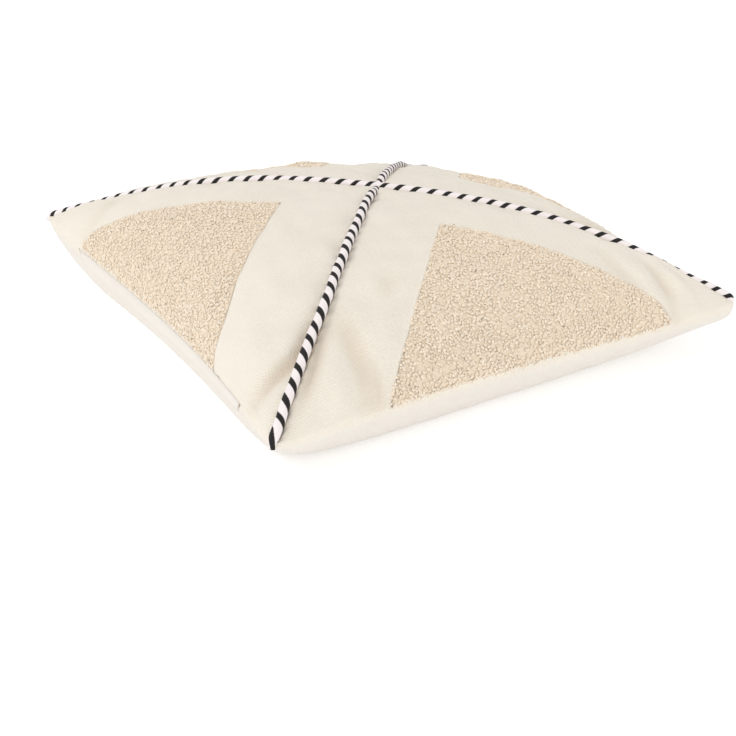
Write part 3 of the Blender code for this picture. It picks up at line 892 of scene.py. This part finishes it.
# %% Pile of curls
CURLS = 3600
CURL_JOINTS, CURL_SIDES = 5, 5
YARN_RADIUS = (0.00105, 0.0016)
CURL_LENGTH = (0.0010, 0.0026)
CURL_TURN, CURL_WOBBLE = (0.6, 3.0), 0.5  # how far it turns from end to end, in radians, and how unevenly
CURL_HEIGHT, CURL_ROOT = (-0.0002, 0.0005), -0.0005
CURL_RIPPLE, CURL_FLATTEN = 0.25, 0.8
YARN_TIP, YARN_UNEVEN = 0.45, (0.85, 1.15)  # how thick it is at its ends, and from joint to joint
DRAWS = 12  # places drawn for each curl before the thinning
CURL_APART, CELL_ROW = 0.00178, 10000  # cells that hold one curl each, and more than lie in a row
PILE_CELLS, PILE_START, PILE_END = 90, 0.01, 1.0025  # the pile hangs a little over the seam
EDGE_WANDER, EDGE_WAVES = 0.0018, (31, 13)  # how unevenly the edge along the short piping runs
# How far the curls keep from the edge along the short and along the long piping; at one they spill over it
CURL_INSET = {"left": (0.0022, 0.0014), "front": (-0.0007, 0.0016),
              "right": (0.0015, 0.0015), "back": (0.0015, 0.0015)}


def even_places(quarter, seed):
    """Random places, thinned to one in each cell of a grid, and again of a grid half a cell off."""
    chance = np.random.default_rng(seed)
    edges = np.linspace(0, PILE_END, PILE_CELLS + 1)
    corners = front(*on_triangle(quarter, edges[:, None], np.linspace(0, 1, PILE_CELLS + 1)))
    along, over = np.diff(corners, axis=0)[:, :-1], np.diff(corners, axis=1)[:-1]
    area = np.linalg.norm(np.cross(along, over), axis=-1)
    cell = chance.choice(area.size, DRAWS * CURLS, p=(area / area.sum()).ravel())
    row, column = np.divmod(cell, PILE_CELLS)
    down = edges[row] + chance.uniform(0, PILE_END / PILE_CELLS, len(cell))
    across = (column + chance.uniform(0, 1, len(cell))) / PILE_CELLS
    for offset in (0.0, 0.5):
        cloth = from_table(FRONT_CLOTH, TABLE_STEPS, *on_triangle(quarter, down, across))
        number = np.floor(cloth / CURL_APART + offset).astype(int)
        _, first = np.unique(number[:, 0] * CELL_ROW + number[:, 1], return_index=True)
        down, across = down[first], across[first]
    kept = chance.permutation(len(down))[:CURLS]
    down, across = down[kept], across[kept]
    wide = np.linalg.norm(np.diff(triangle_corners(quarter)[1:], axis=0)) * down
    before, after = CURL_INSET[quarter]
    before = before + EDGE_WANDER * np.sin(down * EDGE_WAVES[0]) * np.sin(down * EDGE_WAVES[1] + 1)
    across = (before + np.clip(wide - before - after, 0, None) * across) / np.maximum(wide, before + after)
    return np.clip(down, PILE_START, PILE_END), across


def curl_joints(count, chance):
    """Joints of each curl on the flat: steps summed along a heading that turns and wobbles."""
    t = np.linspace(0, 1, CURL_JOINTS)[None]
    start = chance.uniform(0, 2 * np.pi, (count, 1))
    turn = chance.uniform(*CURL_TURN, (count, 1)) * chance.choice([-1, 1], (count, 1))
    wobble = chance.normal(0, CURL_WOBBLE, (count, 1))
    wobble = wobble * np.sin(2 * np.pi * t + chance.uniform(0, 2 * np.pi, (count, 1)))
    heading = start + turn * t + wobble
    step = chance.uniform(*CURL_LENGTH, (count, 1)) / (CURL_JOINTS - 1)
    x, y = (np.cumsum(step * part, axis=1) for part in (np.cos(heading), np.sin(heading)))
    ripple = np.sin(3 * np.pi * t + chance.uniform(0, 2 * np.pi, (count, 1))) * np.sin(np.pi * t)
    humps = np.sin(np.pi * t) ** 0.6 + CURL_RIPPLE * ripple
    height = CURL_ROOT + (chance.uniform(*CURL_HEIGHT, (count, 1)) - CURL_ROOT) * humps
    return x - x.mean(axis=1, keepdims=True), y - y.mean(axis=1, keepdims=True), height


def add_pile(quarter, seed):
    """All curls of a triangle: rings of five points round the joints of each, laid on the front."""
    chance = np.random.default_rng(seed)
    u, v = on_triangle(quarter, *even_places(quarter, seed))
    count = len(u)
    place, normal, tangent, other = on_surface(front, u, v)
    root = (place + normal * cloth_waves(u, v)[:, None])[:, None]
    normal = normal[:, None]
    x, y, height = (part[..., None] for part in curl_joints(count, chance))
    middle = root + x * tangent[:, None] + y * other[:, None] + height * normal
    ahead = unit(np.gradient(middle, axis=1))
    beside = unit(np.cross(ahead, normal))
    over = np.cross(beside, ahead)
    swell = YARN_TIP + (1 - YARN_TIP) * np.sin(np.pi * np.linspace(0, 1, CURL_JOINTS)) ** 0.5
    radius = chance.uniform(*YARN_RADIUS, (count, 1)) * swell
    radius = radius * chance.uniform(*YARN_UNEVEN, (count, CURL_JOINTS))
    angle = (2 * np.pi * np.arange(CURL_SIDES) / CURL_SIDES)[:, None]
    offset = np.cos(angle) * beside[:, :, None] + CURL_FLATTEN * np.sin(angle) * over[:, :, None]
    points = middle[:, :, None] + radius[..., None, None] * offset
    # The height of each point, which the boucle finish turns into painted shade
    rise = ((points - root[:, None]) * normal[:, None]).sum(axis=-1)
    tone = np.repeat(chance.normal(0, 1, count), CURL_JOINTS * CURL_SIDES)
    quads, fans = tube_faces(count, CURL_JOINTS, CURL_SIDES)
    return add_mesh("boucle_pile_" + quarter, points, quads, fans, values={"rise": rise * 1000, "tone": tone})


piles = {quarter: add_pile(quarter, seed) for seed, quarter in enumerate(QUARTERS, start=20)}
for quarter, backing in backings.items():
    pile, (flat, area) = dressed(piles[quarter], "boucle"), flat_size(quarter)
    dressed(backing, "boucle", "boucle_" + quarter)

# %% [markdown]
# ## The flap over the opening
#
# The filling goes in through an opening beside one side seam, under a narrow flap: a strip of the same
# canvas, folded and sewn down. From the camera only its end shows, as a fine line, a bar of stitches and
# a bright fold. It could be part of the cover's own mesh, but a piece of its own can lie over the seam
# with a sharp edge: a flat oval carried along it. Its stitches are short thick threads.

# %% Flap
FLAP_HALF, FLAP_EDGES = 0.69, (0.00002, 0.0052)  # half its length as v, and how far u is past -1 at its edges
FLAP_SLANT = 0.025  # how much sooner its lower edge ends
FLAP_THICK, FLAP_FOLD, FOLD_REACH = 0.0004, 0.9, 0.0022  # the fold at each end stands up this many times more
FLAP_LIFT = -0.0001
FLAP_WAVE, FLAP_WAVES = 0.0002, 60  # the height of its lower edge's wave, and its turns for each unit of v
FLAP_STEPS, FLAP_ROUND, FLAP_LINE = 240, 20, -0.997  # the last is u on the line along which it is measured
STITCH_HALF, STITCH_RADIUS, STITCH_RINGS, STITCH_SIDES = 0.0010, 0.00026, 5, 6
STITCH_OUT, STITCH_STEP = 0.004, 0.002  # past the flap's end, and to a second place that gives the direction


def on_flap(share, v):
    """A place on the back at a share from the flap's upper to its lower edge, evenly down the steep side."""
    top, foot = (math.sqrt(edge) for edge in FLAP_EDGES)
    down = top + (foot - top) * share
    return on_surface(back, down * down - 1, v, -1)


def add_flap():
    """A flat oval, thicker at its folded lower edge, carried along the seam from one end to the other."""
    angle = 2 * np.pi * np.arange(FLAP_ROUND) / FLAP_ROUND
    share = 0.5 - 0.5 * np.cos(angle)
    thick = FLAP_THICK * np.sign(np.sin(angle)) * np.abs(np.sin(angle)) ** 0.6 * (0.4 + 1.1 * share)
    v = np.linspace(-FLAP_HALF, FLAP_HALF, FLAP_STEPS)[:, None]
    share, along = np.broadcast_arrays(share, v)
    along = along * (1 - FLAP_SLANT * share / FLAP_HALF)
    place, normal, _, _ = on_flap(share, along)
    wave = FLAP_WAVE * np.sin(along * FLAP_WAVES) * share
    folded = 1 + FLAP_FOLD * bell((FLAP_HALF - abs(v)) * CUT_HALF / FOLD_REACH)
    points = place + normal * (FLAP_LIFT + thick * folded + wave)[..., None]
    lengths = from_table(BACK_CLOTH, TABLE_STEPS, -1 + FLAP_EDGES[1] * share, along)
    # The flap has no shaded slits and the full painted light of the back's band
    painted_shade_and_light = {"slit_shade": np.zeros(along.size), "underside_light": np.ones(along.size)}
    made = add_mesh("flap", points, grid_quads(*along.shape, closed=True), uv=lengths, values=painted_shade_and_light)
    return dressed(sewn(made, TUBE_JOIN), "canvas", "zip_flap")


def add_stitches():
    """A bar of threads past each end of the flap: six-sided spindles, half sunk in the cloth."""
    share = np.tile(np.linspace(0.02, 0.4, 5), 2)
    v = np.repeat([-1, 1], 5) * (FLAP_HALF + STITCH_OUT - FLAP_SLANT * share)
    centre, normal, _, _ = on_flap(share, v)
    along = unit(on_flap(share, v + STITCH_STEP)[0] - centre)
    parts = (centre + normal * STITCH_RADIUS / 2, along, np.cross(along, normal), normal)
    centre, along, across, normal = (part[:, None, None] for part in parts)
    t = np.linspace(-1, 1, STITCH_RINGS)[:, None, None]
    angle = (2 * np.pi * np.arange(STITCH_SIDES) / STITCH_SIDES)[:, None]
    size = STITCH_RADIUS * np.sqrt(np.clip(1.02 - t * t, 0, 1))
    points = centre + t * STITCH_HALF * along + size * (np.cos(angle) * across + np.sin(angle) * normal)
    made = sewn(add_mesh("flap_stitches", points, *tube_faces(len(points), STITCH_RINGS, STITCH_SIDES)))
    return dressed(made, "canvas")


flap, stitches = add_flap(), add_stitches()
flap_end = from_table(BACK_CLOTH, TABLE_STEPS, np.array([FLAP_LINE]), np.array([FLAP_HALF]))[0, 1]
flap_edges = on_flap(np.array([0.0, 1.0]), np.zeros(2))[0]

# %% [markdown]
# ## Writing a finish as sums
#
# A procedural material is arithmetic on coordinates. Wiring each Math node by hand hides the formula, so
# one small class wraps a socket and lets + - * / build the nodes, and a second one adds any other node.

# %% Shader sums
class Signal:
    """A value in a shader, so that sums of it can be written as in Python."""

    def __init__(self, finish, socket):
        self.finish, self.socket = finish, socket

    def node(self, kind, *others):
        """A Math node of that kind on this value and the others."""
        return self.finish.add("ShaderNodeMath", {"operation": kind}, dict(enumerate((self, *others))))

    def __add__(self, other):
        return self.node("ADD", other)

    def __sub__(self, other):
        return self.node("SUBTRACT", other)

    def __rsub__(self, other):
        return self * -1 + other

    def __mul__(self, other):
        return self.node("MULTIPLY", other)

    def __truediv__(self, other):
        return self.node("DIVIDE", other)

    def clamped(self):
        """The value, held between 0 and 1."""
        return self.node("MAXIMUM", 0).node("MINIMUM", 1)


class Finish:
    """A material: its Principled shader, and methods that add every other node."""

    def __init__(self, name):
        self.material = bpy.data.materials.new(name)
        self.material.use_nodes = True
        self.tree = self.material.node_tree
        self.shader = self.tree.nodes["Principled BSDF"]

    def add(self, kind, settings=None, inputs=None, output=0):
        """A node with its settings made first, then the values or links of its sockets; gives one output."""
        node = self.tree.nodes.new(kind)
        for key, value in (settings or {}).items():
            setattr(node, key, value)
        for key, value in (inputs or {}).items():
            self.put(node.inputs[key], value)
        return Signal(self, node.outputs[output])

    def put(self, socket, value):
        """Links a Signal to the socket, or sets a plain value on it."""
        if isinstance(value, Signal):
            self.tree.links.new(value.socket, socket)
        else:
            socket.default_value = value

    def place(self):
        """The Object coordinates, in metres."""
        return self.add("ShaderNodeTexCoord", output=3)

    def cloth(self):
        """The UV map, and each of its two parts."""
        place = self.add("ShaderNodeUVMap", {"uv_map": "uv"})
        first = self.add("ShaderNodeSeparateXYZ", {}, {0: place})
        return place, first, Signal(self, first.socket.node.outputs[1])

    def value(self, name):
        """The value of this name that the mesh carries."""
        return self.add("ShaderNodeAttribute", {"attribute_name": name}, output=2)

    def noise(self, place, scale, detail=2.0, rough=0.5):
        """Noise around 0.5 with that many waves a metre."""
        inputs = {"Vector": place, "Scale": scale, "Detail": detail, "Roughness": rough}
        return self.add("ShaderNodeTexNoise", {}, inputs)

    def mix(self, share, first, second, how="MIX"):
        """The two colours mixed, or joined in another way."""
        settings = {"data_type": "RGBA", "blend_type": how}
        return self.add("ShaderNodeMix", settings, {0: share, 6: first, 7: second}, output=2)

    def bump(self, height, distance, strength=1.0):
        """The normal of a surface raised by height * distance."""
        return self.add("ShaderNodeBump", {}, {"Height": height, "Distance": distance, "Strength": strength})

    def use(self, **inputs):
        """Sets or links the shader's own sockets, named with underscores for spaces."""
        for key, value in inputs.items():
            self.put(self.shader.inputs[key.replace("_", " ")], value)
        print("finish", self.material.name, "with", len(self.tree.nodes), "nodes")
        return self.material


def linear(red, green, blue):
    """A colour of 0 to 255 as a picture shows it, in linear values with its alpha."""
    shown = np.array((red, green, blue)) / 255
    return (*np.where(shown <= 0.04045, shown / 12.92, ((shown + 0.055) / 1.055) ** 2.4).tolist(), 1.0)


# %% [markdown]
# ## Canvas
#
# The cover is an unbleached canvas in basket weave: pairs of threads cross and leave small square bumps.
# Two sines, one along each direction of the cloth, give those bumps, and a little noise keeps the threads
# uneven. The colour drifts slightly over the cloth. A painted shade makes the hollows between threads darker,
# and a painted highlight makes their tops lighter. Painted shade also darkens the narrow slits at the hems,
# brown with the backing threads in them, and the deeper troughs, which get less light in the real cushion.
# The band of the back below the seam, and the flap on it, get a less yellow painted tone for the way light
# falls there.

# %% Canvas finish
WEAVE_PITCH, WEAVE_HEIGHT = 0.00135, 0.00026
# Painted shade in the hollows between threads and painted highlight on their tops, round the canvas's own
# tone
CANVAS_LIGHT_AND_WEAVE_HIGHLIGHT, CANVAS_DARK_AND_WEAVE_SHADE = linear(247, 240, 227), linear(190, 177, 158)
CANVAS_UNDERSIDE_LIGHT, SLIT_SHADE_BROWN = linear(226, 220, 213), linear(104, 78, 54)
# Painted shade in the troughs of the folds
HOLLOW_SHADE = (0.86, 0.80, 0.74, 1)  # what is left of the colour at the bottom of a trough


def canvas_finish(name):
    """Height sin(2 pi s / pitch) sin(2 pi t / pitch) with noise; painted weave shade from it, a drift and the
    slits' shade.
    """
    finish = Finish(name)
    cloth, s, t = finish.cloth()
    shift = (finish.noise(cloth, 900) - 0.5) * 0.9
    wave = 2 * math.pi / WEAVE_PITCH
    bumps = (s * wave + shift).node("SINE") * (t * wave + shift).node("SINE")
    drift, thread = finish.noise(finish.place(), 26, 3), finish.noise(cloth, 420, 3, 0.7)
    # Painted weave shade from the thread height, with a real drift of colour and uneven threads
    shade = bumps * 0.46 + (drift - 0.5) * 0.2 + (thread - 0.5) * 0.35 + 0.72
    colour = finish.mix(shade.clamped(), CANVAS_DARK_AND_WEAVE_SHADE, CANVAS_LIGHT_AND_WEAVE_HIGHLIGHT)
    # Painted light on the back's band below the seam and on the flap
    colour = finish.mix(finish.value("underside_light") * 0.8, colour, CANVAS_UNDERSIDE_LIGHT)
    # Painted shade in the slits, brown with the backing threads
    colour = finish.mix(finish.value("slit_shade"), colour, SLIT_SHADE_BROWN)
    # Painted shade in the troughs of the folds
    colour = finish.mix(finish.value("hollow_shade"), colour, HOLLOW_SHADE, "MULTIPLY")
    bump = finish.bump(bumps * 0.5 + thread * 0.5, WEAVE_HEIGHT)
    return finish.use(Base_Color=colour, Roughness=0.92, Normal=bump, Sheen_Weight=0.15, Sheen_Roughness=0.5)


canvas = canvas_finish("canvas")
for piece in (cover, flap):
    piece.data.materials.append(canvas)

# %% [markdown]
# ## Boucle
#
# The curls are pale at their tops, and the slits between them are a warm brown, because light is lost
# there and the backing shows through. Each point of the pile carries how high it stands, and each curl a
# tone of its own, so both can drive the colour: the height as a painted shade, darker towards the backing,
# and the tone at random. The backing sheet is painted darker as well, for the shade under the curls. A fine
# noise stands for the single fibres.

# %% Boucle finish
# The gap colour holds the backing's brown and painted shade
YARN_TOP, YARN_GAP_AND_SHADE = linear(244, 230, 211), linear(222, 204, 179)


def boucle_finish(name, on_curls):
    """Colour as painted shade from the height above the backing, and the curl's tone; fibres as a fine bump.
    """
    finish = Finish(name)
    fibres, drift = finish.noise(finish.place(), 1500, 3, 0.7), finish.noise(finish.place(), 40)
    if on_curls:
        # Painted shade from the height above the backing, and a random tone for each curl
        height_shade_and_tone = finish.value("rise") * 0.30 + finish.value("tone") * 0.08
        share = height_shade_and_tone + (drift - 0.5) * 0.4 + (fibres - 0.5) * 0.5 + 0.32
    else:
        # The backing is painted darker, for the shade under the curls
        share = (fibres - 0.5) * 0.6 + 0.30
    colour, bump = finish.mix(share.clamped(), YARN_GAP_AND_SHADE, YARN_TOP), finish.bump(fibres, 0.0003, 0.7)
    return finish.use(Base_Color=colour, Roughness=1.0, Normal=bump, Sheen_Weight=0.3, Sheen_Roughness=0.6)


yarn, woven_backing = boucle_finish("boucle_yarn", True), boucle_finish("boucle_backing", False)
for quarter in QUARTERS:
    piles[quarter].data.materials.append(yarn)
    backings[quarter].data.materials.append(woven_backing)

# %% [markdown]
# ## Striped cotton
#
# The strip round the cord has white and near-black stripes. Wound on the bias they become helices: the
# phase of the pattern is the length along the cord plus a share of the turn round it. Both are in the UV
# map. The edges of a woven stripe are a little ragged, so noise shifts the phase by a hair.

# %% Striped finish
STRIPE_WHITE, STRIPE_SHADE, STRIPE_BLACK = linear(240, 233, 231), linear(229, 220, 219), linear(20, 15, 14)
STRIPE_SLANT, STRIPE_EDGE, RIBS = 0.020, 0.02, 12  # half the soft edge as a share, and ribs on each stripe


def striped_finish(name, pitch, first, dark_share):
    """Black where the fraction of (along - slant * turn) / pitch, counted from the first stripe, is small."""
    finish = Finish(name)
    place, (_, along, turn) = finish.place(), finish.cloth()
    ragged = (finish.noise(place, 900, 3, 0.6) - 0.5) * 0.06
    phase = ((along - turn * STRIPE_SLANT) / pitch - first + ragged + 0.5).node("FRACT")
    from_middle = (phase - 0.5).node("ABSOLUTE")
    dark = ((dark_share / 2 + STRIPE_EDGE - from_middle) / (2 * STRIPE_EDGE)).clamped()
    white = finish.mix(finish.noise(place, 120), STRIPE_SHADE, STRIPE_WHITE)
    ribs = (phase * (2 * math.pi * RIBS)).node("SINE")
    bump = finish.bump(ribs * 0.5 + finish.noise(place, 2200), 0.0001, 0.5)
    return finish.use(Base_Color=finish.mix(dark, white, STRIPE_BLACK), Roughness=0.85, Normal=bump)


piping_long.data.materials.append(striped_finish("striped_long", 0.01354, 0.215, 0.36))
piping_near.data.materials.append(striped_finish("striped_near", 0.01327, 0.800, 0.41))
piping_far.data.materials.append(striped_finish("striped_far", 0.01340, 0.60, 0.37))

# %% [markdown]
# ## Thread
#
# The flap is sewn down with a browner thread than the canvas. It shows as a few dark dots in the photo,
# so two tones mixed by a fine noise are enough for it.

# %% Thread finish
thread = Finish("stitch_thread")
fuzz = thread.noise(thread.place(), 3000)
stitches.data.materials.append(thread.use(
    Base_Color=thread.mix(fuzz, linear(150, 132, 112), linear(206, 192, 170)), Roughness=0.8,
    Normal=thread.bump(fuzz, 0.0001)))

# %% [markdown]
# ## Floor
#
# The photograph is a bright product picture on white paper, with only a faint shadow round the cushion. A
# wide pale floor that gives off a little light of its own comes out as that white, and keeps the shadow.

# %% Floor
FLOOR_HALF = 40
floor_corners = FLOOR_HALF * np.array([(-1, -1, 0), (1, -1, 0), (1, 1, 0), (-1, 1, 0)])
floor = add_mesh("floor", floor_corners, [(0, 1, 2, 3)])
paper = Finish("floor")
grain = paper.noise(paper.place(), 3)
floor.data.materials.append(paper.use(
    Base_Color=paper.mix(grain, (0.90, 0.90, 0.90, 1), (0.92, 0.92, 0.92, 1)), Roughness=0.9,
    Emission_Color=(1, 1, 1, 1), Emission_Strength=0.26))

# %% [markdown]
# ## Light
#
# The folds show by soft light from the sides, with no hard shadow anywhere. Lamps close by would light the
# near corner more than the far one, so the light comes from a white sky all round and from three wide
# suns: the strongest from the upper left, a second from the front, and a weak one from the right.

# %% Light
LAMP_AIM = Vector((0, 0, 0.05))
world = bpy.data.worlds.new("sky")
world.use_nodes = True
sky = world.node_tree.nodes["Background"].inputs
sky["Color"].default_value, sky["Strength"].default_value = (1, 1, 1, 1), 0.78
bpy.context.scene.world = world
bpy.context.scene.view_settings.view_transform = "Standard"


def add_sun(name, direction, strength, degrees):
    """A sun that shines from its direction to the middle of the cushion, as wide as those degrees."""
    light = bpy.data.lights.new(name, "SUN")
    light.energy, light.angle = strength, math.radians(degrees)
    sun = placed(name, light)
    sun.location = direction
    sun.rotation_euler = (LAMP_AIM - Vector(direction)).to_track_quat("-Z", "Y").to_euler()


add_sun("key", (-1.4, 0.9, 1.8), 0.88, 26)
add_sun("front", (-1.0, -1.5, 0.9), 0.54, 40)
add_sun("right", (0.9, -1.5, 0.5), 0.35, 40)
print("three suns and a white sky")
